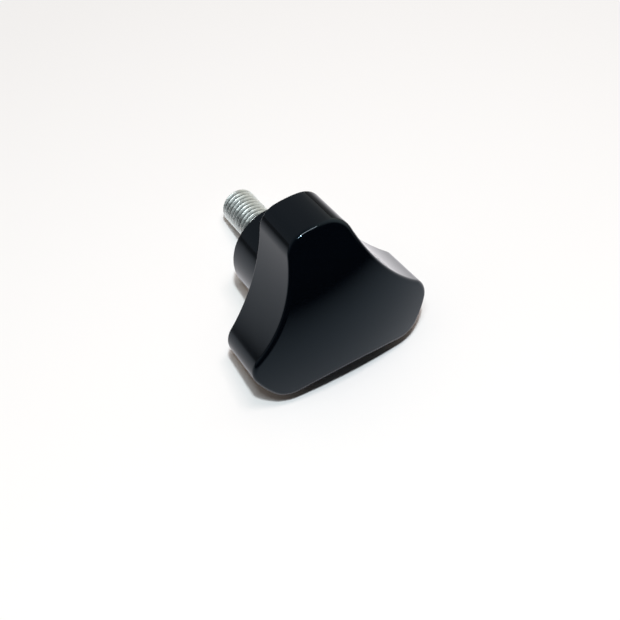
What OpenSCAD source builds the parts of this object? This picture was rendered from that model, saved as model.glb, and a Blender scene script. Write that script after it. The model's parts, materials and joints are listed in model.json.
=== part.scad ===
// Three-lobe star knob with a steel stud moulded into its hub.
// The knob lies on a flat surface, on the rear edge of its two lower lobes and on its hub's rim or its
// stud's tip, whichever reaches lower, with its domed front facing -Y and tilted up.

/* [Head] */
// Diameter of the circle that the three lobe tips touch
head_d = 42; // [34:0.5:52]
// Distance from the axis to the middle of a hollow flank
flank_dist = 12.9; // [11:0.1:17]
// Radius of a flank's hollow
flank_r = 43; // [30:1:90]
// Radius of the corner between a flank and a lobe tip
corner_r = 4.8; // [3:0.1:6]
// Height of the head on its axis
head_h = 15.9; // [12:0.1:24]
// Radius of the domed front face
dome_r = 64; // [50:1:200]
// Radius of the rounded edge around the front face
front_edge_r = 1; // [0.3:0.1:1.6]
// Radius of the rounded edge around the rear face
rear_edge_r = 0.3; // [0.1:0.05:0.8]
// Mould draft of the sides, in degrees: the head widens towards its front
draft = 0.8; // [0:0.1:2]

/* [Hub] */
// Diameter of the hub
hub_d = 20.8; // [18:0.1:24]
// Length of the hub behind the head
hub_len = 13.2; // [8:0.1:20]
// Radius of the rounded edge around the hub's seat
hub_edge_r = 0.3; // [0.1:0.05:0.8]
// Gap all round the stud in the relief at the middle of the hub's seat
relief_gap = 1; // [0.8:0.1:2]
// Depth of that relief
relief_depth = 0.6; // [0.3:0.1:1.5]

/* [Stud] */
// Diameter of the stud over its thread
stud_d = 8; // [5:0.5:10]
// Length of stud that stands out of the hub's seat
stud_out = 20; // [12:0.5:40]
// Height and depth of the chamfer on the stud's tip
tip_chamfer = 0.8; // [0.3:0.1:1.2]
// How far the plain shank inside the plastic is reduced all round, below the thread's outside
shank_step = 0.45; // [0.2:0.05:0.8]
// Width across the flats of the stud's hexagonal head, which anchors it in the plastic
anchor_af = 13; // [10:0.5:15]
// Height of the anchoring head
anchor_h = 5.3; // [3:0.1:7]
// How far the anchoring head's underside lies in front of the knob head's rear face
anchor_z = 1.8; // [0:0.1:3]

/* [Fineness] */
// Steps along each flank
flank_steps = 20; // [8:2:28]
// Steps across each lobe tip
tip_steps = 3; // [2:1:6]
// Steps across the rounded front edge
edge_steps = 4; // [2:1:6]
// Rings of facets across the dome
dome_steps = 8; // [4:1:12]

/* [Hidden] */
$fn = 96;

// Steps around a corner, on the flank's side and on the tip's side of the point where the knob stands
corner_flank_steps = 2;
corner_tip_steps = 5;
// Steps across the rounded rear edge
rear_edge_steps = 2;

// The front view's outline is built on arcs that run smoothly into one another. These are the centres
// of one flank's arc and of the corner next to it, with +X through the middle of that flank.
head_r = head_d / 2;
flank_centre = [flank_dist + flank_r, 0];
corner_dist = head_r - corner_r;
corner_angle = acos((corner_dist ^ 2 + flank_centre.x ^ 2 - (flank_r + corner_r) ^ 2)
    / (2 * corner_dist * flank_centre.x));
corner_centre = corner_dist * dir(corner_angle);
// Half of the angle that the flank's arc covers
flank_angle = atan2(corner_centre.y, flank_centre.x - corner_centre.x);

// Distance from the rear face's plane to the centre of the dome's sphere, and to the stud's tip
dome_z = head_h - dome_r;
tip_z = -hub_len - stud_out;

function dir(a) = [cos(a), sin(a)];
function turned(p, a) = [p.x * cos(a) - p.y * sin(a), p.x * sin(a) + p.y * cos(a)];
function flat3(p, z) = [p.x, p.y, z];

// Angles from a up to, but not including, b
function sweep(a, b, steps) = [for (i = [0:steps - 1]) a + (b - a) * i / steps];

// Stations of an arc, each [point of the outline, direction of its outward normal]. A hollow arc has
// its centre outside the head, so its normals point at the centre.
function arc(centre, r, angles) = [for (a = angles) [centre + r * dir(a), a]];
function hollow(centre, r, angles) = [for (a = angles) [centre - r * dir(a), a]];

// One third of the outline: a flank, the corner after it, the lobe's tip and the next corner
third = concat(
    hollow(flank_centre, flank_r, sweep(flank_angle, -flank_angle, flank_steps)),
    arc(corner_centre, corner_r, sweep(-flank_angle, 0, corner_flank_steps)),
    arc(corner_centre, corner_r, sweep(0, corner_angle, corner_tip_steps)),
    arc([0, 0], head_r, sweep(corner_angle, 120 - corner_angle, tip_steps)),
    arc(corner_dist * dir(120 - corner_angle), corner_r, sweep(120 - corner_angle, 120, corner_tip_steps)),
    arc(corner_dist * dir(120 - corner_angle), corner_r, sweep(120, 120 + flank_angle, corner_flank_steps))
);

// The whole outline, with one lobe pointing along +Y
outline = [for (side = [30, 150, 270], s = third) [turned(s[0], side), s[1] + side]];

// Outward normals in space of the drafted side wall, the rear face and the dome
function wall_normal(s) = flat3(cos(draft) * dir(s[1]), -sin(draft));
function dome_normal(c) = (c - [0, 0, dome_z]) / norm(c - [0, 0, dome_z]);

// Point at height z that lies r inside the side wall
function inside_wall(s, z, r) = flat3(s[0] + (z * tan(draft) - r / cos(draft)) * dir(s[1]), z);

// Height at which a ball of radius r, rolled along the inside of the wall, also touches the dome
function ball_z(s, r) =
    let (q = s[0] - r / cos(draft) * dir(s[1]),
        slope = tan(draft),
        a = 1 + slope ^ 2,
        b = slope * (q * dir(s[1])) - dome_z,
        c = q * q + dome_z ^ 2 - (dome_r - r) ^ 2)
    (sqrt(b ^ 2 - a * c) - b) / a;

// Unit vector that lies the share t of the way round from u to v
function between(u, v, t) =
    let (w = acos(u * v))
    (sin((1 - t) * w) * u + sin(t * w) * v) / sin(w);

// Rings of points around the head, from its rear face to the middle of its dome
rear_rings = [for (i = [0:rear_edge_steps]) [for (s = outline)
    inside_wall(s, rear_edge_r, rear_edge_r)
        + rear_edge_r * between([0, 0, -1], wall_normal(s), i / rear_edge_steps)]];
front_balls = [for (s = outline) inside_wall(s, ball_z(s, front_edge_r), front_edge_r)];
front_rings = [for (i = [0:edge_steps]) [for (k = [0:len(outline) - 1])
    front_balls[k]
        + front_edge_r * between(wall_normal(outline[k]), dome_normal(front_balls[k]), i / edge_steps)]];
dome_rings = [for (i = [dome_steps - 1:-1:1]) [for (p = front_rings[edge_steps])
    let (x = p.x * i / dome_steps, y = p.y * i / dome_steps)
    [x, y, dome_z + sqrt(dome_r ^ 2 - x ^ 2 - y ^ 2)]]];
rings = concat(rear_rings, front_rings, dome_rings);
head_points = concat([for (ring = rings, p = ring) p], [[0, 0, head_h]]);

// How the knob comes to rest: tilted until the lobes and the stud's tip touch the surface together, or
// the lobes and the hub's rim where the rim reaches lower. A rounded edge of radius r has its centre at
// distance y from the axis and height z.
lobe_low = corner_dist * cos(corner_angle) + corner_r;
edge_low = lobe_low + rear_edge_r * (tan(draft) - 1 / cos(draft));
crest_z = tip_z + tip_chamfer;
function rest_tilt(y, z, r) =
    let (drop = edge_low - y, reach = rear_edge_r - z)
    acos((r - rear_edge_r) / norm([drop, reach])) - atan2(reach, drop);
stud_tilt = rest_tilt(stud_d / 2, crest_z, 0);
hub_tilt = rest_tilt(hub_d / 2 - hub_edge_r, hub_edge_r - hub_len, hub_edge_r);
tilt = min(stud_tilt, hub_tilt);
lift = edge_low * cos(tilt) - rear_edge_r * sin(tilt) + rear_edge_r;
y_front = min([for (p = head_points) p.y * sin(tilt) - p.z * cos(tilt)]);
y_back = (stud_d / 2 - tip_chamfer) * sin(tilt) - tip_z * cos(tilt);

// From the knob's own axes, with +Z out of the dome and a lobe along +Y, to the way it lies
module lying() {
    translate([0, -(y_front + y_back) / 2, lift])
        rotate([90 - tilt, 0, 0])
            children();
}

// Head: the outline's rings joined into one closed skin
module head() {
    n = len(outline);
    m = len(rings);
    skin = [for (i = [0:m - 2], k = [0:n - 1])
        let (a = i * n + k, b = i * n + (k + 1) % n)
        each [[a, a + n, b + n], [a, b + n, b]]];
    rear = [[for (k = [0:n - 1]) k]];
    top = [for (k = [0:n - 1]) [(m - 1) * n + k, m * n, (m - 1) * n + (k + 1) % n]];
    polyhedron(head_points, concat(skin, rear, top));
}

// Hub: a straight boss with a rounded edge, rooted halfway up the head, with a relief around the stud
module hub() {
    difference() {
        translate([0, 0, -hub_len])
            rotate_extrude() {
                square([hub_d / 2 - hub_edge_r, hub_len]);
                translate([0, hub_edge_r])
                    square([hub_d / 2, hub_len + head_h / 2 - hub_edge_r]);
                translate([hub_d / 2 - hub_edge_r, hub_edge_r])
                    circle(hub_edge_r);
            }
        translate([0, 0, -hub_len - 1])
            cylinder(d = stud_d + 2 * relief_gap, h = relief_depth + 1);
    }
}

// Stud: threaded length with a chamfered tip, then a plain shank and a hexagonal head inside the plastic
module stud() {
    floor_z = -hub_len + relief_depth;
    translate([0, 0, tip_z])
        cylinder(d1 = stud_d - 2 * tip_chamfer, d2 = stud_d, h = tip_chamfer);
    translate([0, 0, crest_z])
        cylinder(d = stud_d, h = floor_z - crest_z);
    translate([0, 0, floor_z])
        cylinder(d = stud_d - 2 * shank_step, h = anchor_z - floor_z);
    translate([0, 0, anchor_z])
        cylinder(d = anchor_af / cos(30), h = anchor_h, $fn = 6);
}

// The plastic is pressed round the stud, so its hollow is the stud's own shape
module knob_body() {
    color("#1b1c1f")
        lying()
            difference() {
                union() {
                    head();
                    hub();
                }
                stud();
            }
}

module threaded_stud() {
    color("#c3c8c6")
        lying()
            stud();
}

knob_body();
threaded_stud();
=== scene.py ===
"""Star knob with a threaded stud: the finished surfaces, on a pale floor under soft studio light."""

import json
import math

import bmesh
import bpy
import numpy as np
from bpy.props import FloatProperty, FloatVectorProperty, IntProperty, PointerProperty
from bpy.types import Operator, Panel, PropertyGroup
from mathutils import Matrix, Vector


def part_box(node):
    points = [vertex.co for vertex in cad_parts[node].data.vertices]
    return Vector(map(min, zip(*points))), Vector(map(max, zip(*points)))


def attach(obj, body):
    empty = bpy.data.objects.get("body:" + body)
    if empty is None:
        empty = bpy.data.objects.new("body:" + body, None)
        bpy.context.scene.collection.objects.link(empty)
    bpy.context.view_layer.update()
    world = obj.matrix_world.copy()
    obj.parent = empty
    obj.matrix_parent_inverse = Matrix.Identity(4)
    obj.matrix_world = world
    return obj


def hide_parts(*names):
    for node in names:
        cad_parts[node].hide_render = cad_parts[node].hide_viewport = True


bl_info = {
    "name": "Star knob with threaded stud",
    "version": (1, 0, 0),
    "blender": (4, 5, 0),
    "location": "3D View > Sidebar > Star Knob",
    "description": "Makes a moulded three-lobe knob, its zinc-plated stud and a studio around them",
    "category": "Object",
}

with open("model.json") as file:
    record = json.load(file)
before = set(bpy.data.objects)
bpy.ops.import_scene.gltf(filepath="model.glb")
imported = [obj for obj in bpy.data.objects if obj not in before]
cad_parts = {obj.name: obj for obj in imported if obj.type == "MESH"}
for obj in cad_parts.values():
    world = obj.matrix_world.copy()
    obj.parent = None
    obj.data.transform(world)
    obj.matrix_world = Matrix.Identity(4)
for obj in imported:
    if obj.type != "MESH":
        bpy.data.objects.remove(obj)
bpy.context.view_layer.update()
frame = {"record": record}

MM = 0.001
THIRD = math.tau / 3
SIXTH = math.tau / 6
# Points nearer than this become one, which closes seams and poles
MERGE_DISTANCE = 0.001 * MM
# Edges that turn by more than this are shaded as sharp
SHARP_ANGLE = math.radians(38)
# How far a new piece's box may differ from that of the node it replaces
BOX_TOLERANCE = 0.3 * MM
# Shares of the way at which flat or straight surfaces get a row. Rows close to an edge keep its
# shading narrow.
DOME_LAST_SHARES = [0.985, 0.995]
WALL_SHARES = [0.01, 0.04, 0.2, 0.4, 0.6, 0.8, 0.96, 0.99]
REAR_FACE_SHARES = [0.02, 0.1, 0.4, 0.7, 0.95]
HUB_WALL_SHARES = [0, 0.02, 0.25, 0.5, 0.75, 0.97, 0.99]
TIP_SHARES = [1, 0.97, 0.5, 0]
# From the hub's rim inwards to the first row of its seat
SEAT_STEP = 0.1 * MM
# A sharp V thread's height, over its pitch, and the share of it between the crest and the sharp root
SHARP_HEIGHT = math.sqrt(3) / 2
CREST_SHARE = 7 / 8
# Rounding of the thread's root, over its pitch. The crest has half of it.
ROOT_SOFTNESS = 0.05
# Angle between +X and the middle of the first flank
FIRST_FLANK = math.radians(30)

# Phenolic resin has an IOR of about 1.6, and this moulding's skin mirrors a little less
SKIN_IOR = 1.43
# Sink marks in the plastic: how wide and how high the waves between them are
SINK_WIDTH = 6 * MM
SINK_DEPTH = 0.02 * MM
# Width of the rubbed patches on the zinc, and the least and most that they multiply its roughness by
RUBBED_WIDTH = 1.2 * MM
RUBBED_LEAST, RUBBED_MOST = 0.8, 1.2
# Most of a noise's values lie between these
NOISE_LOW, NOISE_HIGH = 0.3, 0.7
# Width and depth of the rolling dies' marks
MARK_WIDTH = 0.7 * MM
MARK_DEPTH = 0.05 * MM
# Shares of the thread's depth, from its root, between which the groove's painted shade and smoother
# finish give way to the crest's colour and roughness
GROOVE_END, CREST_START = 0.15, 0.75

# Way from the knob to the far floor, and how far along it that is reached. The far floor's brightness in
# mirrors is painted light.
FAR_WAY = (0.45, 0.9, 0)
FAR_REACH = 250 * MM
# Sides of the room
BEHIND = (0, 1, 0)
HIGH_RIGHT = (0.9, 0.1, 0.42)
# Cosines of the angle to a side between which the light from there fades in
FILL_SPAN = (-0.5, 0.3)
BEHIND_SPAN = (-0.3, 0.6)
BRIGHT_SPAN = (0.45, 0.95)

# Half of the floor's side, in metres
FLOOR_REACH = 2.0
# The camera's sensor, in millimetres, and the nearest that it sees, in metres
SENSOR_WIDTH = 36
CLIP_START = 0.01

MOUNTS = {mount["name"]: mount for mount in frame["record"]["mounts"]}
STUD_MOUNT = MOUNTS["stud"]


def linear(hex_colour):
    """An sRGB hex colour as linear red, green, blue and an alpha of 1."""
    channels = [int(hex_colour[i : i + 2], 16) / 255 for i in (1, 3, 5)]
    return [c / 12.92 if c <= 0.04045 else ((c + 0.055) / 1.055) ** 2.4 for c in channels] + [1.0]


class KnobSizes(PropertyGroup):
    """Sizes of the moulded knob, in metres."""

    head_d: FloatProperty(
        name="Head diameter",
        description="Circle that the three lobe tips touch",
        default=42 * MM,
        unit="LENGTH",
    )
    flank_dist: FloatProperty(
        name="Flank distance",
        description="From the axis to the middle of a hollow flank",
        default=12.9 * MM,
        unit="LENGTH",
    )
    flank_r: FloatProperty(
        name="Flank radius", description="Radius of a flank's hollow", default=43 * MM, unit="LENGTH"
    )
    corner_r: FloatProperty(
        name="Corner radius",
        description="Radius between a flank and a lobe's tip",
        default=4.8 * MM,
        unit="LENGTH",
    )
    head_h: FloatProperty(
        name="Head height", description="Height of the head on its axis", default=15.9 * MM, unit="LENGTH"
    )
    dome_r: FloatProperty(
        name="Dome radius", description="Radius of the front face", default=64 * MM, unit="LENGTH"
    )
    front_edge_r: FloatProperty(
        name="Front edge radius",
        description="Rounding around the front face",
        default=1 * MM,
        unit="LENGTH",
    )
    rear_edge_r: FloatProperty(
        name="Rear edge radius",
        description="Rounding around the rear face",
        default=0.3 * MM,
        unit="LENGTH",
    )
    draft: FloatProperty(
        name="Draft",
        description="Slope of the sides, which widen towards the front",
        default=math.radians(0.8),
        unit="ROTATION",
    )
    hub_d: FloatProperty(
        name="Hub diameter", description="Outside of the hub", default=20.8 * MM, unit="LENGTH"
    )
    hub_len: FloatProperty(
        name="Hub length", description="From the rear face to the seat", default=13.2 * MM, unit="LENGTH"
    )
    hub_edge_r: FloatProperty(
        name="Hub edge radius", description="Rounding around the seat", default=0.3 * MM, unit="LENGTH"
    )
    relief_gap: FloatProperty(
        name="Relief gap", description="Gap around the stud in the seat", default=1 * MM, unit="LENGTH"
    )
    relief_depth: FloatProperty(
        name="Relief depth", description="Depth of that gap", default=0.6 * MM, unit="LENGTH"
    )


class StudSizes(PropertyGroup):
    """Sizes of the steel stud, in metres."""

    thread_r: FloatProperty(
        name="Thread radius",
        description="Outside radius of the thread",
        default=STUD_MOUNT["dims"]["r_mm"] * MM,
        unit="LENGTH",
    )
    out: FloatProperty(
        name="Length out",
        description="Length of stud that stands out of the seat",
        default=20 * MM,
        unit="LENGTH",
    )
    pitch: FloatProperty(
        name="Pitch", description="Thread spacing of a coarse M8", default=1.25 * MM, unit="LENGTH"
    )
    root_r: FloatProperty(
        name="Root radius", description="Radius at the thread's root", default=3.233 * MM, unit="LENGTH"
    )
    tip_chamfer: FloatProperty(
        name="Tip chamfer", description="Height and depth of the chamfer", default=0.8 * MM, unit="LENGTH"
    )
    run_out: FloatProperty(
        name="Run-out", description="Length over which the thread fades", default=1.4 * MM, unit="LENGTH"
    )
    shank_r: FloatProperty(
        name="Shank radius",
        description="Plain shank inside the plastic",
        default=3.55 * MM,
        unit="LENGTH",
    )
    anchor_af: FloatProperty(
        name="Anchor width", description="Hexagon across its flats", default=13 * MM, unit="LENGTH"
    )
    anchor_h: FloatProperty(
        name="Anchor height", description="Height of the hexagon", default=5.3 * MM, unit="LENGTH"
    )
    anchor_z: FloatProperty(
        name="Anchor place",
        description="From the rear face's plane to the hexagon's underside",
        default=1.8 * MM,
        unit="LENGTH",
    )


class Fineness(PropertyGroup):
    """Steps of the new surfaces."""

    flank: IntProperty(name="Flank", description="Steps along each flank", default=44)
    corner: IntProperty(name="Corner", description="Steps around each corner", default=22)
    tip: IntProperty(name="Tip", description="Steps across each lobe's tip", default=10)
    dome: IntProperty(name="Dome", description="Rings across the dome", default=28)
    edge: IntProperty(name="Edge", description="Steps across a rounded edge", default=8)
    turn: IntProperty(name="Turn", description="Steps around the stud", default=120)
    thread: IntProperty(name="Thread", description="Steps along one pitch of the thread", default=20)


class Finishes(PropertyGroup):
    """Colours and finishes of the two materials."""

    plastic: FloatVectorProperty(
        name="Plastic",
        description="Colour of the moulded plastic",
        subtype="COLOR",
        default=linear("#030509")[:3],
    )
    plastic_roughness: FloatProperty(
        name="Plastic roughness",
        description="Blur of what the plastic mirrors",
        subtype="FACTOR",
        default=0.08,
    )
    skin: FloatVectorProperty(
        name="Skin",
        description="Tint of what the plastic mirrors when seen square on",
        subtype="COLOR",
        default=linear("#c8eaff")[:3],
    )
    zinc: FloatVectorProperty(
        name="Zinc",
        description="Colour of the zinc plating",
        subtype="COLOR",
        default=linear("#e4ebe8")[:3],
    )
    zinc_roughness: FloatProperty(
        name="Zinc roughness",
        description="Blur of what the plating mirrors on the scuffed crests",
        subtype="FACTOR",
        default=0.42,
    )
    # Painted shade: a darker grey mixed into the zinc's colour in the thread's root, where the grooves
    # lie in shade
    groove: FloatVectorProperty(
        name="Groove",
        description="Colour of the plating in the thread's root",
        subtype="COLOR",
        default=linear("#7c8688")[:3],
    )
    groove_roughness: FloatProperty(
        name="Groove roughness",
        description="Blur of what the plating mirrors in the thread's root",
        subtype="FACTOR",
        default=0.3,
    )


class StudioSettings(PropertyGroup):
    """Floor, light and camera."""

    floor: FloatVectorProperty(
        name="Floor", description="Colour of the floor", subtype="COLOR", default=linear("#fafafa")[:3]
    )
    # Painted light: in mirrors the floor's colour is a painted pool of light, brighter than white at its
    # middle
    pool: FloatVectorProperty(
        name="Pool of light",
        description="Middle of the bright floor that the knob mirrors",
        subtype="XYZ",
        unit="LENGTH",
        size=2,
        default=(30.7 * MM, 3.3 * MM),
    )
    pool_size: FloatVectorProperty(
        name="Pool size",
        description="How far the floor shows in mirrors, along and across its long way",
        subtype="XYZ",
        unit="LENGTH",
        size=2,
        default=(345 * MM, 197 * MM),
    )
    pool_turn: FloatProperty(
        name="Pool turn",
        description="Turn of the pool's long way from +X towards +Y",
        default=math.radians(-33.1),
        unit="ROTATION",
    )
    mirrored: FloatVectorProperty(
        name="Mirrored floor",
        description="Floor in mirrors, at the middle of the pool",
        subtype="COLOR",
        default=(1.25, 1.23, 1.28),
    )
    # Painted light: the floor far behind the knob is painted brighter in mirrors
    far: FloatProperty(
        name="Far floor",
        description="Brightness in mirrors of the floor far behind the knob",
        default=0.3,
    )
    even_floor: FloatVectorProperty(
        name="Even floor",
        description="Distances at which the floor starts to look evenly pale and wholly does",
        subtype="XYZ",
        unit="LENGTH",
        size=2,
        default=(95 * MM, 200 * MM),
    )
    dim_side: FloatVectorProperty(
        name="Dim side", description="The room in front", subtype="COLOR", default=linear("#0d1014")[:3]
    )
    open_side: FloatVectorProperty(
        name="Open side",
        description="The room behind",
        subtype="COLOR",
        default=linear("#86878a")[:3],
    )
    bright_side: FloatVectorProperty(
        name="Bright side",
        description="The room high on the right",
        subtype="COLOR",
        default=(0.95, 0.9, 0.82),
    )
    fill: FloatVectorProperty(
        name="Fill",
        description="Warm fill from behind and both sides, as matt surfaces get it",
        subtype="COLOR",
        default=(0.36, 0.3, 0.255),
    )
    lamp: FloatVectorProperty(
        name="Lamp",
        description="Direction from the knob to the lamp",
        subtype="DIRECTION",
        default=(-0.068, -0.254, 0.965),
    )
    lamp_distance: FloatProperty(
        name="Lamp distance", description="From the knob to the lamp", default=0.59, unit="LENGTH"
    )
    lamp_size: FloatVectorProperty(
        name="Lamp size",
        description="Length and width of the lamp",
        subtype="XYZ",
        unit="LENGTH",
        size=2,
        default=(30 * MM, 30 * MM),
    )
    lamp_power: FloatProperty(name="Lamp power", description="In watts", default=1.95, unit="POWER")
    lamp_colour: FloatVectorProperty(
        name="Lamp colour",
        description="Colour of the lamp's and the wing's light",
        subtype="COLOR",
        default=(0.885, 0.965, 1.0),
    )
    wing: FloatVectorProperty(
        name="Wing",
        description="Direction from the knob to the lamp's softer wing on its left",
        subtype="DIRECTION",
        default=(-0.168, -0.251, 0.953),
    )
    wing_size: FloatVectorProperty(
        name="Wing size",
        description="Length and width of the wing",
        subtype="XYZ",
        unit="LENGTH",
        size=2,
        default=(80 * MM, 40 * MM),
    )
    wing_power: FloatProperty(name="Wing power", description="In watts", default=0.55, unit="POWER")
    overhead: FloatVectorProperty(
        name="Overhead",
        description="Direction from the knob to the broad lamp above it",
        subtype="DIRECTION",
        default=(0.112, -0.122, 0.986),
    )
    overhead_size: FloatVectorProperty(
        name="Overhead size",
        description="Length and width of the broad lamp",
        subtype="XYZ",
        unit="LENGTH",
        size=2,
        default=(200 * MM, 80 * MM),
    )
    overhead_power: FloatProperty(
        name="Overhead power", description="In watts", default=0.84, unit="POWER"
    )
    overhead_colour: FloatVectorProperty(
        name="Overhead colour",
        description="Colour of the broad lamp's light",
        subtype="COLOR",
        default=(1.0, 0.84, 0.79),
    )
    azimuth: FloatProperty(
        name="Azimuth",
        description="Turn of the view from +Y towards +X",
        default=math.radians(26.44),
        unit="ROTATION",
    )
    look_down: FloatProperty(
        name="Look down",
        description="Angle of the view below the horizon",
        default=math.radians(57.02),
        unit="ROTATION",
    )
    roll: FloatProperty(
        name="Roll",
        description="Lean of the view to its right",
        default=math.radians(4.21),
        unit="ROTATION",
    )
    target: FloatVectorProperty(
        name="Target",
        description="Point in the middle of the view",
        subtype="XYZ",
        unit="LENGTH",
        default=(-2.159 * MM, -12.193 * MM, 10.292 * MM),
    )
    distance: FloatProperty(
        name="Distance", description="From the camera to its target", default=276.78 * MM, unit="LENGTH"
    )
    lens: FloatProperty(name="Lens", description="Focal length, in millimetres", default=79.031)


class StarKnobSettings(PropertyGroup):
    """Everything that the panel shows."""

    knob: PointerProperty(type=KnobSizes)
    stud: PointerProperty(type=StudSizes)
    fineness: PointerProperty(type=Fineness)
    finishes: PointerProperty(type=Finishes)
    studio: PointerProperty(type=StudioSettings)


def knob_axes(hub_len):
    """Matrix from the knob's own axes, +Z out of the dome and a lobe along +Y, to the way it lies."""
    seat = Vector(STUD_MOUNT["pos_m"])
    forward = -Vector(STUD_MOUNT["axis"]).normalized()
    right = Vector((1, 0, 0))
    up = forward.cross(right)
    turn = Matrix((right, up, forward)).transposed().to_4x4()
    return Matrix.Translation(seat + hub_len * forward) @ turn


def direction(angles):
    """Unit vectors in the plane, at these angles."""
    return np.stack([np.cos(angles), np.sin(angles)], -1)


def outline(knob, fineness):
    """Points round the head's front view at the rear face's plane, and the angles of their normals.

    Each third is made of arcs that run smoothly into one another: a flank's hollow, a corner, the
    lobe's tip and the next corner. A point of an arc lies its radius from the centre along its
    normal, and a hollow's radius is negative, because its normals point at the centre.
    """
    tip_r = knob.head_d / 2
    corner_dist = tip_r - knob.corner_r
    flank_centre = knob.flank_dist + knob.flank_r
    cosine = corner_dist**2 + flank_centre**2 - (knob.flank_r + knob.corner_r) ** 2
    corner_turn = math.acos(cosine / (2 * corner_dist * flank_centre))
    first, second = corner_dist * direction(np.array([corner_turn, THIRD - corner_turn]))
    flank_turn = math.atan2(first[1], flank_centre - first[0])
    arcs = [
        (np.array([flank_centre, 0]), -knob.flank_r, flank_turn, -flank_turn, fineness.flank),
        (first, knob.corner_r, -flank_turn, corner_turn, fineness.corner),
        (np.zeros(2), tip_r, corner_turn, THIRD - corner_turn, fineness.tip),
        (second, knob.corner_r, THIRD - corner_turn, THIRD + flank_turn, fineness.corner),
    ]
    angles = [np.linspace(start, stop, steps, endpoint=False) for _, _, start, stop, steps in arcs]
    points = [arc[0] + arc[1] * direction(turn) for arc, turn in zip(arcs, angles)]
    angles, points = np.concatenate(angles), np.concatenate(points)
    sides = FIRST_FLANK + THIRD * np.arange(3)
    cos, sin = np.cos(sides)[:, None], np.sin(sides)[:, None]
    x = points[:, 0] * cos - points[:, 1] * sin
    y = points[:, 0] * sin + points[:, 1] * cos
    points = np.stack([x, y], -1).reshape(-1, 2)
    angles = (angles + sides[:, None]).ravel()
    return np.vstack([points, points[:1]]), np.append(angles, angles[0])


def at_height(points, z):
    """Points of the plane set at height z."""
    return np.column_stack([points, np.broadcast_to(z, len(points))])


def ring(radius, z, angles):
    """A circle of points at height z. The radius is one number or one for each angle."""
    return at_height(direction(angles) * np.reshape(radius, (-1, 1)), z)


def hexagon(across_flats, angles):
    """Radius of a hexagon at these angles: half its width, over the cosine of the angle from a flat."""
    return across_flats / 2 / np.cos(angles % SIXTH - SIXTH / 2)


def rows_between(first, last, shares):
    """Rows that lie these shares of the straight way from the first row to the last."""
    return [first + share * (last - first) for share in shares]


def slerp(u, v, share):
    """Unit vectors that lie this share of the way round from u to v."""
    turn = np.arccos(np.clip((u * v).sum(-1, keepdims=True), -1, 1))
    return (np.sin((1 - share) * turn) * u + np.sin(share * turn) * v) / np.sin(turn)


def head_rows(knob, points, normals, shares, dome_steps):
    """Rows of the head's skin, from the middle of its dome to the end of its rear edge.

    The side wall is the outline, offset along its normals by the draft's slope times the height.
    Its edges are swept by balls, and have rows at these shares of the way round. A front ball touches
    the wall and the dome's sphere, so its height solves the quadratic that sets its distance from the
    sphere's centre to the sphere's radius less its own. A rear ball touches the wall and the rear
    plane. The dome's rings start from the front balls' contact points.
    """
    slope = math.tan(knob.draft)
    wall_normal = at_height(math.cos(knob.draft) * normals, -math.sin(knob.draft))
    dome_centre = np.array([0, 0, knob.head_h - knob.dome_r])

    def inside_wall(radius, z):
        offset = z * slope - radius / math.cos(knob.draft)
        return at_height(points + np.reshape(offset, (-1, 1)) * normals, z)

    edge_r = knob.front_edge_r
    start = points - edge_r / math.cos(knob.draft) * normals
    a = 1 + slope**2
    b = slope * (start * normals).sum(-1) - dome_centre[2]
    c = (start**2).sum(-1) + dome_centre[2] ** 2 - (knob.dome_r - edge_r) ** 2
    front_balls = inside_wall(edge_r, (np.sqrt(b**2 - a * c) - b) / a)
    dome_normal = front_balls - dome_centre
    dome_normal /= np.linalg.norm(dome_normal, axis=-1, keepdims=True)
    front = [front_balls + edge_r * slerp(dome_normal, wall_normal, share) for share in shares]

    rear_balls = inside_wall(knob.rear_edge_r, knob.rear_edge_r)
    down = np.broadcast_to([0.0, 0.0, -1.0], wall_normal.shape)
    rear = [rear_balls + knob.rear_edge_r * slerp(wall_normal, down, share) for share in shares]
    wall = rows_between(front[-1], rear[0], WALL_SHARES)
    return dome_rows(front[0][:, :2], dome_centre[2], knob.dome_r, dome_steps) + front + wall + rear


def dome_rows(rim, centre_z, radius, steps):
    """Rows from the dome's middle almost to its rim: the rim, scaled and set on the dome's sphere.

    The rim's points are given as seen along the axis, and the radius is the sphere's.
    """
    shares = np.append(np.linspace(0, 1, steps, endpoint=False), DOME_LAST_SHARES)
    rings = [share * rim for share in shares]
    return [at_height(row, centre_z + np.sqrt(radius**2 - (row**2).sum(-1))) for row in rings]


def hub_rows(knob, polar, rear_end, shares):
    """Rows from the head's rear edge over its rear face and along the hub, which is made of circles.

    The hub's rim is a quarter circle, with rows at these shares of its turn.
    """
    hub_r = knob.hub_d / 2
    hub_root = ring(hub_r, 0, polar)
    edge_r = knob.hub_edge_r
    rim = [
        ring(hub_r - edge_r + edge_r * cos, edge_r * (1 - sin) - knob.hub_len, polar)
        for cos, sin in direction(shares * math.pi / 2)
    ]
    rear_face = rows_between(rear_end, hub_root, REAR_FACE_SHARES)
    return rear_face + rows_between(hub_root, rim[0], HUB_WALL_SHARES) + rim


def hollow_rows(knob, stud, polar):
    """Rows over the hub's seat and its relief into the hollow around the stud: circles and a hexagon."""
    seat_z = -knob.hub_len
    relief_r = stud.thread_r + knob.relief_gap
    floor_z = seat_z + knob.relief_depth
    anchor_r = hexagon(stud.anchor_af, polar)
    anchor_top = stud.anchor_z + stud.anchor_h
    return [
        ring(knob.hub_d / 2 - knob.hub_edge_r - SEAT_STEP, seat_z, polar),
        ring(relief_r, seat_z, polar),
        ring(relief_r, floor_z, polar),
        ring(stud.shank_r, floor_z, polar),
        ring(stud.shank_r, stud.anchor_z, polar),
        ring(anchor_r, stud.anchor_z, polar),
        ring(anchor_r, anchor_top, polar),
        ring(0, anchor_top, polar),
    ]


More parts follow.
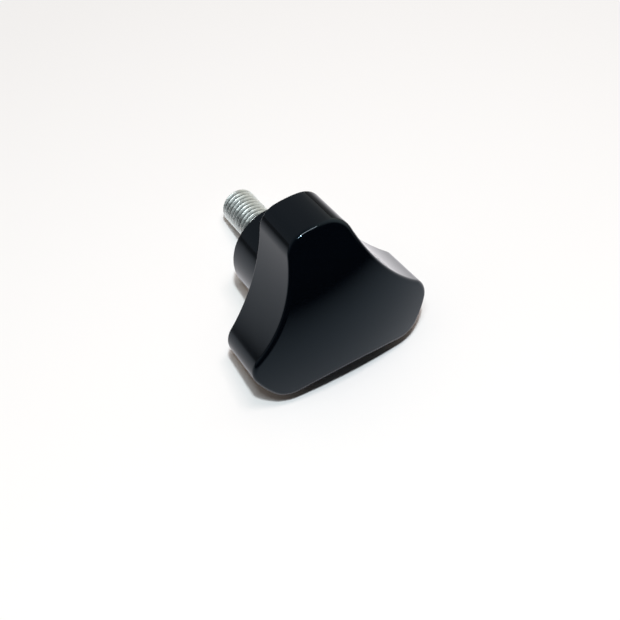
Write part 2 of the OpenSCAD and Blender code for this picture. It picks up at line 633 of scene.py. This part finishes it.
def knob_rows(knob, stud, fineness):
    """Rows of the whole moulding's skin, from the middle of its dome into the end of its hollow.

    Behind the head, each row's points lie at the polar angles of the outline's points.
    """
    points, angles = outline(knob, fineness)
    polar = np.arctan2(points[:, 1], points[:, 0])
    shares = np.linspace(0, 1, fineness.edge + 1)
    head = head_rows(knob, points, direction(angles), shares, fineness.dome)
    return np.array(head + hub_rows(knob, polar, head[-1], shares) + hollow_rows(knob, stud, polar))


def stud_rows(knob, stud, fineness):
    """Rows of the stud's skin, in two grids.

    The first is its plain part, from the middle of the anchoring head to the relief's floor, made of
    circles and hexagons. The second is the tip's flat end.
    """
    angles = np.linspace(0, math.tau, fineness.turn + 1)
    anchor_r = hexagon(stud.anchor_af, angles)
    anchor_top = stud.anchor_z + stud.anchor_h
    floor_z = knob.relief_depth - knob.hub_len
    tip_z = -knob.hub_len - stud.out
    plain = [
        ring(0, anchor_top, angles),
        ring(anchor_r, anchor_top, angles),
        ring(anchor_r, stud.anchor_z, angles),
        ring(stud.shank_r, stud.anchor_z, angles),
        ring(stud.shank_r, floor_z, angles),
        ring(stud.thread_r, floor_z, angles),
    ]
    end_r = stud.thread_r - stud.tip_chamfer
    end = [ring(end_r * share, tip_z, angles) for share in TIP_SHARES]
    return np.array(plain), np.array(end)


def thread_grid(knob, stud, fineness):
    """The threaded length as a sheared grid, whose rows climb one pitch a turn as the helix does.

    Along a row the radius is the same: the sharp V's, cut off softly at the crest and rounded at
    the root. Towards the hub the groove fades out, and at the tip a 45 degree cone limits the
    radius. Rows that leave the threaded length are laid on its end, where they merge.
    """
    tip_z = -knob.hub_len - stud.out
    floor_z = knob.relief_depth - knob.hub_len
    turns = math.ceil((floor_z - tip_z) / stud.pitch) + 1
    starts = floor_z - stud.pitch * np.arange(turns * fineness.thread + 1) / fineness.thread
    angles = np.linspace(0, math.tau, fineness.turn + 1)
    z = starts[:, None] + stud.pitch * angles / math.tau
    sharp_h = stud.pitch * SHARP_HEIGHT
    phase = np.abs((starts - floor_z) / stud.pitch % 1 - 0.5)
    sharp_v = stud.thread_r - sharp_h * CREST_SHARE + sharp_h * 2 * phase[:, None]
    softness = ROOT_SOFTNESS * stud.pitch
    grooved = soft_limit(sharp_v, stud.root_r, softness)
    radius = 2 * stud.thread_r - soft_limit(2 * stud.thread_r - grooved, stud.thread_r, softness / 2)
    z = np.clip(z, tip_z, floor_z)
    fade = np.clip((floor_z - z) / stud.run_out, 0, 1)
    radius = stud.thread_r + (radius - stud.thread_r) * fade**2 * (3 - 2 * fade)
    radius = np.minimum(radius, stud.thread_r - stud.tip_chamfer + z - tip_z)
    return np.stack([radius * np.cos(angles), radius * np.sin(angles), z], -1)


def soft_limit(values, lowest, softness):
    """The larger of the values and the lowest, with the corner between them rounded."""
    above = values - lowest
    return lowest + (above + np.sqrt(above**2 + softness**2)) / 2


def grid_quads(rows, columns, first):
    """Quads of a grid of rows from front to rear, whose points run anticlockwise seen from the front."""
    row, column = np.meshgrid(np.arange(rows - 1), np.arange(columns - 1), indexing="ij")
    corner = first + row * columns + column
    return np.stack([corner, corner + columns, corner + columns + 1, corner + 1], -1).reshape(-1, 4)


def make_piece(name, grids, axes, node, material):
    """One closed mesh from grids of points, put in place of a node, with a material."""
    points, quads, count = [], [], 0
    for grid in grids:
        rows, columns = grid.shape[:2]
        points.append(grid.reshape(-1, 3))
        quads.append(grid_quads(rows, columns, count))
        count += rows * columns
    turn = np.array(axes.to_3x3())
    placed = np.concatenate(points) @ turn.T + np.array(axes.translation)
    mesh = bpy.data.meshes.new(name)
    mesh.from_pydata(placed, [], np.concatenate(quads).tolist())
    work = bmesh.new()
    work.from_mesh(mesh)
    bmesh.ops.remove_doubles(work, verts=work.verts, dist=MERGE_DISTANCE)
    open_edges = sum(not edge.is_manifold for edge in work.edges)
    volume = work.calc_volume(signed=True)
    work.to_mesh(mesh)
    work.free()
    if open_edges or volume <= 0:
        raise RuntimeError(f"{name}: {open_edges} open edges, volume {volume:.3g}")
    mesh.shade_smooth()
    mesh.set_sharp_from_angle(angle=SHARP_ANGLE)
    mesh.materials.append(material)
    piece = bpy.data.objects.new(name, mesh)
    bpy.context.scene.collection.objects.link(piece)
    box = np.array([placed.min(0), placed.max(0)])
    off = np.abs(box - np.array(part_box(node))).max()
    if off > BOX_TOLERANCE:
        raise RuntimeError(f"{name}: its box is {off / MM:.2f} mm off that of {node}")
    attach(piece, "root")
    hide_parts(node)
    return piece


def new_material(name):
    """An empty node material, and its tree."""
    material = bpy.data.materials.new(name)
    material.use_nodes = True
    material.node_tree.nodes.clear()
    return material, material.node_tree


def add_node(tree, kind, settings=None, inputs=None):
    """A node with its settings. An input takes a value, or a link from another node's output."""
    node = tree.nodes.new(kind)
    for name, value in (settings or {}).items():
        setattr(node, name, value)
    for name, value in (inputs or {}).items():
        if isinstance(value, bpy.types.NodeSocket):
            tree.links.new(value, node.inputs[name])
        else:
            node.inputs[name].default_value = value
    return node


def moulded_phenolic(finishes):
    """Black phenolic resin, pressed in a polished mould.

    The resin is all but black, so what the eye sees is what it mirrors: a little blurred, because the
    mould's polish is not perfect, and a little wavy, because the resin shrinks as it cures.
    """
    material, tree = new_material("moulded_phenolic")
    place = add_node(tree, "ShaderNodeTexCoord")
    waves = add_node(
        tree,
        "ShaderNodeTexNoise",
        inputs={"Vector": place.outputs["Object"], "Scale": 1 / SINK_WIDTH, "Detail": 1.0},
    )
    bump = add_node(
        tree,
        "ShaderNodeBump",
        inputs={"Strength": 0.5, "Distance": SINK_DEPTH, "Height": waves.outputs["Fac"]},
    )
    shader = add_node(
        tree,
        "ShaderNodeBsdfPrincipled",
        inputs={
            "Base Color": (*finishes.plastic, 1),
            "Roughness": finishes.plastic_roughness,
            "IOR": SKIN_IOR,
            "Specular Tint": (*finishes.skin, 1),
            "Normal": bump.outputs["Normal"],
        },
    )
    add_node(tree, "ShaderNodeOutputMaterial", inputs={"Surface": shader.outputs["BSDF"]})
    return material


def crest_share(tree, place, thread_r, root_r):
    """How far a point of the thread is from its root, 0, to its crest, 1, by its distance to the axis."""
    from_seat = add_node(
        tree,
        "ShaderNodeVectorMath",
        {"operation": "SUBTRACT"},
        {0: place.outputs["Object"], 1: STUD_MOUNT["pos_m"]},
    )
    across = add_node(
        tree,
        "ShaderNodeVectorMath",
        {"operation": "CROSS_PRODUCT"},
        {0: from_seat.outputs["Vector"], 1: STUD_MOUNT["axis"]},
    )
    radius = add_node(
        tree,
        "ShaderNodeVectorMath",
        {"operation": "LENGTH"},
        {0: across.outputs["Vector"]},
    )
    share = add_node(
        tree,
        "ShaderNodeMapRange",
        {"interpolation_type": "SMOOTHSTEP"},
        {
            "Value": radius.outputs["Value"],
            "From Min": root_r + GROOVE_END * (thread_r - root_r),
            "From Max": root_r + CREST_START * (thread_r - root_r),
        },
    )
    return share.outputs["Result"]


def rubbed_roughness(tree, place, crest, finishes):
    """Roughness from the groove's to the crest's, in patches that are rubbed more or less."""
    smooth = add_node(
        tree,
        "ShaderNodeMix",
        {"data_type": "FLOAT"},
        {0: crest, 2: finishes.groove_roughness, 3: finishes.zinc_roughness},
    )
    cloud = add_node(
        tree,
        "ShaderNodeTexNoise",
        inputs={"Vector": place.outputs["Object"], "Scale": 1 / RUBBED_WIDTH, "Detail": 3.0},
    )
    rubbed = add_node(
        tree,
        "ShaderNodeMapRange",
        inputs={
            "Value": cloud.outputs["Fac"],
            "From Min": NOISE_LOW,
            "From Max": NOISE_HIGH,
            "To Min": RUBBED_LEAST,
            "To Max": RUBBED_MOST,
        },
    )
    rough = add_node(
        tree,
        "ShaderNodeMath",
        {"operation": "MULTIPLY"},
        {0: smooth.outputs[0], 1: rubbed.outputs["Result"]},
    )
    return rough.outputs["Value"]


def zinc_plated_steel(finishes, thread_r, root_r):
    """Rolled steel thread, bright zinc plated and clear passivated.

    The crests are scuffed to a broad silvery sheen with a faint cool green cast. The roots keep a
    smoother plating, and their colour is mixed to a darker grey as painted shade, which draws a dark
    line along each groove.
    """
    material, tree = new_material("zinc_plated_steel")
    place = add_node(tree, "ShaderNodeTexCoord")
    crest = crest_share(tree, place, thread_r, root_r)
    # Painted shade: the colour runs from the groove's darker grey at the root to the zinc's at the crest
    colour = add_node(
        tree,
        "ShaderNodeMix",
        {"data_type": "RGBA"},
        {0: crest, 6: (*finishes.groove, 1), 7: (*finishes.zinc, 1)},
    )
    # Marks of the rolling dies, drawn coarser than they are, which break up the sheen
    marks = add_node(
        tree,
        "ShaderNodeTexNoise",
        inputs={"Vector": place.outputs["Object"], "Scale": 1 / MARK_WIDTH, "Detail": 2.0},
    )
    dented = add_node(
        tree,
        "ShaderNodeBump",
        inputs={"Strength": 1.0, "Distance": MARK_DEPTH, "Height": marks.outputs["Fac"]},
    )
    shader = add_node(
        tree,
        "ShaderNodeBsdfPrincipled",
        inputs={
            "Base Color": colour.outputs[2],
            "Metallic": 1.0,
            "Roughness": rubbed_roughness(tree, place, crest, finishes),
            "Normal": dented.outputs["Normal"],
        },
    )
    add_node(tree, "ShaderNodeOutputMaterial", inputs={"Surface": shader.outputs["BSDF"]})
    return material


def painted_floor_pool(tree, place, studio):
    """Colour of the floor in mirrors: a painted pool of light that fades into the far floor.

    With the distance from the pool's middle counted as 1 on an ellipse of its size, the pool's share is
    the square of one less that distance.
    """
    turned = add_node(
        tree,
        "ShaderNodeMapping",
        {"vector_type": "TEXTURE"},
        {
            "Vector": place.outputs["Object"],
            "Location": (*studio.pool, 0),
            "Rotation": (0, 0, studio.pool_turn),
            "Scale": (*studio.pool_size, 1),
        },
    )
    distance = add_node(
        tree,
        "ShaderNodeVectorMath",
        {"operation": "LENGTH"},
        {0: turned.outputs["Vector"]},
    )
    nearness = add_node(
        tree,
        "ShaderNodeMath",
        {"operation": "SUBTRACT", "use_clamp": True},
        {0: 1.0, 1: distance.outputs["Value"]},
    )
    share = add_node(
        tree,
        "ShaderNodeMath",
        {"operation": "POWER"},
        {0: nearness.outputs["Value"], 1: 2.0},
    )
    along = add_node(
        tree,
        "ShaderNodeVectorMath",
        {"operation": "DOT_PRODUCT"},
        {0: place.outputs["Object"], 1: FAR_WAY},
    )
    far = add_node(
        tree,
        "ShaderNodeMapRange",
        {"interpolation_type": "SMOOTHSTEP"},
        {"Value": along.outputs["Value"], "From Max": FAR_REACH, "To Max": studio.far},
    )
    pool = add_node(
        tree,
        "ShaderNodeMix",
        {"data_type": "RGBA"},
        {0: share.outputs["Value"], 6: far.outputs["Result"], 7: (*studio.mirrored, 1)},
    )
    return pool.outputs[2]


def matt_floor(studio):
    """Pale matt board, whose colour in mirrors is a painted pool of light that fades with distance.

    Seen from the camera it turns to a backdrop of its own colour well outside the knob's shadow, so that
    it stays evenly pale past the reach of the lamps.
    """
    material, tree = new_material("pale_matt_board")
    place = add_node(tree, "ShaderNodeTexCoord")
    path = add_node(tree, "ShaderNodeLightPath")
    mirrored = painted_floor_pool(tree, place, studio)
    # Painted light: mirrors see the painted pool, other rays the board's own pale colour
    colour = add_node(
        tree,
        "ShaderNodeMix",
        {"data_type": "RGBA"},
        {0: path.outputs["Is Glossy Ray"], 6: (*studio.floor, 1), 7: mirrored},
    )
    board = add_node(tree, "ShaderNodeBsdfDiffuse", inputs={"Color": colour.outputs[2]})
    backdrop = add_node(tree, "ShaderNodeEmission", inputs={"Color": (*studio.floor, 1)})
    away = add_node(
        tree,
        "ShaderNodeVectorMath",
        {"operation": "LENGTH"},
        {0: place.outputs["Object"]},
    )
    start, stop = studio.even_floor
    even = add_node(
        tree,
        "ShaderNodeMapRange",
        {"interpolation_type": "SMOOTHSTEP"},
        {"Value": away.outputs["Value"], "From Min": start, "From Max": stop},
    )
    seen = add_node(
        tree,
        "ShaderNodeMath",
        {"operation": "MULTIPLY"},
        {0: even.outputs["Result"], 1: path.outputs["Is Camera Ray"]},
    )
    surface = add_node(
        tree,
        "ShaderNodeMixShader",
        inputs={0: seen.outputs["Value"], 1: board.outputs["BSDF"], 2: backdrop.outputs["Emission"]},
    )
    add_node(tree, "ShaderNodeOutputMaterial", inputs={"Surface": surface.outputs["Shader"]})
    return material


def make_floor(studio):
    """A flat square that reaches well past every view."""
    sides = np.array([-FLOOR_REACH, FLOOR_REACH])
    x, y = np.meshgrid(sides, sides)
    points = np.column_stack([x.ravel(), y.ravel(), np.zeros(4)])
    mesh = bpy.data.meshes.new("floor")
    mesh.from_pydata(points, [], [(0, 1, 3, 2)])
    mesh.materials.append(matt_floor(studio))
    floor = bpy.data.objects.new("floor", mesh)
    bpy.context.scene.collection.objects.link(floor)


def sided(tree, towards, dim, bright, span):
    """A colour that runs from dim to bright as a direction turns towards one side of the room."""
    place = add_node(tree, "ShaderNodeTexCoord")
    facing = add_node(
        tree,
        "ShaderNodeVectorMath",
        {"operation": "DOT_PRODUCT"},
        {0: place.outputs["Generated"], 1: towards},
    )
    start, stop = span
    share = add_node(
        tree,
        "ShaderNodeMapRange",
        {"interpolation_type": "SMOOTHSTEP"},
        {"Value": facing.outputs["Value"], "From Min": start, "From Max": stop},
    )
    mixed = add_node(
        tree,
        "ShaderNodeMix",
        {"data_type": "RGBA"},
        {0: share.outputs["Result"], 6: dim, 7: bright},
    )
    return mixed.outputs[2]


def make_world(studio):
    """A white backdrop for the camera, a dim room for mirrors and a warm fill for matt surfaces."""
    world = bpy.data.worlds.new("studio_room")
    world.use_nodes = True
    tree = world.node_tree
    tree.nodes.clear()
    path = add_node(tree, "ShaderNodeLightPath")
    dim = (*studio.dim_side, 1)
    fill = sided(tree, BEHIND, dim, (*studio.fill, 1), FILL_SPAN)
    behind = sided(tree, BEHIND, dim, (*studio.open_side, 1), BEHIND_SPAN)
    room = sided(tree, HIGH_RIGHT, behind, (*studio.bright_side, 1), BRIGHT_SPAN)
    seen = add_node(
        tree, "ShaderNodeMix", {"data_type": "RGBA"}, {0: path.outputs["Is Glossy Ray"], 6: fill, 7: room}
    )
    plain = add_node(
        tree,
        "ShaderNodeMix",
        {"data_type": "RGBA"},
        {0: path.outputs["Is Camera Ray"], 6: seen.outputs[2], 7: (1, 1, 1, 1)},
    )
    light = add_node(tree, "ShaderNodeBackground", inputs={"Color": plain.outputs[2]})
    add_node(tree, "ShaderNodeOutputWorld", inputs={"Surface": light.outputs["Background"]})
    bpy.context.scene.world = world


def make_lamp(name, towards, distance, size, power, colour):
    """A flat lamp at a distance towards one side, turned to the knob, with its length near X."""
    back = Vector(towards).normalized()
    side = Vector((0, 1, 0)).cross(back).normalized()
    turn = Matrix((side, back.cross(side), back)).transposed().to_4x4()
    lamp = bpy.data.lights.new(name, "AREA")
    lamp.shape = "RECTANGLE"
    lamp.size, lamp.size_y = size
    lamp.energy = power
    lamp.color = colour
    holder = bpy.data.objects.new(name, lamp)
    holder.matrix_world = Matrix.Translation(distance * back) @ turn
    bpy.context.scene.collection.objects.link(holder)


def make_camera(studio):
    """A camera that looks at its target from a distance, along an azimuth and downwards, with a roll."""
    azimuth, down = studio.azimuth, studio.look_down
    forward = Vector(
        (math.sin(azimuth) * math.cos(down), math.cos(azimuth) * math.cos(down), -math.sin(down))
    )
    level = forward.cross(Vector((0, 0, 1))).normalized()
    level_up = level.cross(forward)
    up = level_up * math.cos(studio.roll) + level * math.sin(studio.roll)
    right = forward.cross(up)
    turn = Matrix((right, up, -forward)).transposed().to_4x4()
    lens = bpy.data.cameras.new("camera")
    lens.lens = studio.lens
    lens.sensor_width = SENSOR_WIDTH
    lens.clip_start = CLIP_START
    camera = bpy.data.objects.new("camera", lens)
    camera.matrix_world = Matrix.Translation(Vector(studio.target) - studio.distance * forward) @ turn
    bpy.context.scene.collection.objects.link(camera)
    bpy.context.scene.camera = camera


class STARKNOB_OT_knob(Operator):
    """Make the moulded knob"""

    bl_idname = "star_knob.knob"
    bl_label = "Moulded knob"

    def execute(self, context):
        settings = context.scene.star_knob
        rows = knob_rows(settings.knob, settings.stud, settings.fineness)
        make_piece(
            "moulded_knob",
            [rows],
            knob_axes(settings.knob.hub_len),
            "knob_body",
            moulded_phenolic(settings.finishes),
        )
        return {"FINISHED"}


class STARKNOB_OT_stud(Operator):
    """Make the threaded stud"""

    bl_idname = "star_knob.stud"
    bl_label = "Zinc-plated stud"

    def execute(self, context):
        settings = context.scene.star_knob
        sizes = settings.knob, settings.stud, settings.fineness
        plain, end = stud_rows(*sizes)
        make_piece(
            "zinc_stud",
            [plain, thread_grid(*sizes), end],
            knob_axes(settings.knob.hub_len),
            "threaded_stud",
            zinc_plated_steel(settings.finishes, settings.stud.thread_r, settings.stud.root_r),
        )
        return {"FINISHED"}


class STARKNOB_OT_studio(Operator):
    """Make the floor, the light and the camera"""

    bl_idname = "star_knob.studio"
    bl_label = "Studio"

    def execute(self, context):
        studio = context.scene.star_knob.studio
        make_floor(studio)
        make_world(studio)
        far = studio.lamp_distance
        make_lamp("lamp", studio.lamp, far, studio.lamp_size, studio.lamp_power, studio.lamp_colour)
        make_lamp("wing", studio.wing, far, studio.wing_size, studio.wing_power, studio.lamp_colour)
        overhead = studio.overhead_size, studio.overhead_power, studio.overhead_colour
        make_lamp("overhead", studio.overhead, far, *overhead)
        make_camera(studio)
        context.scene.view_settings.view_transform = "Standard"
        return {"FINISHED"}


class STARKNOB_PT_panel(Panel):
    """Panel with the operators and their settings"""

    bl_label = "Star Knob"
    bl_idname = "STARKNOB_PT_panel"
    bl_space_type = "VIEW_3D"
    bl_region_type = "UI"
    bl_category = "Star Knob"

    def draw(self, context):
        for operator in OPERATORS:
            self.layout.operator(operator.bl_idname)
        settings = context.scene.star_knob
        for part in settings.__annotations__:
            group = getattr(settings, part)
            box = self.layout.box()
            for name in group.__annotations__:
                box.prop(group, name)


SETTINGS = (KnobSizes, StudSizes, Fineness, Finishes, StudioSettings, StarKnobSettings)
OPERATORS = (STARKNOB_OT_knob, STARKNOB_OT_stud, STARKNOB_OT_studio)


def register():
    for cls in (*SETTINGS, *OPERATORS, STARKNOB_PT_panel):
        bpy.utils.register_class(cls)
    bpy.types.Scene.star_knob = PointerProperty(type=StarKnobSettings)


def unregister():
    del bpy.types.Scene.star_knob
    for cls in reversed((*SETTINGS, *OPERATORS, STARKNOB_PT_panel)):
        bpy.utils.unregister_class(cls)


def main():
    """Makes everything."""
    register()
    bpy.ops.star_knob.knob()
    bpy.ops.star_knob.stud()
    bpy.ops.star_knob.studio()
    bpy.context.view_layer.update()


if __name__ == "__main__":
    main()
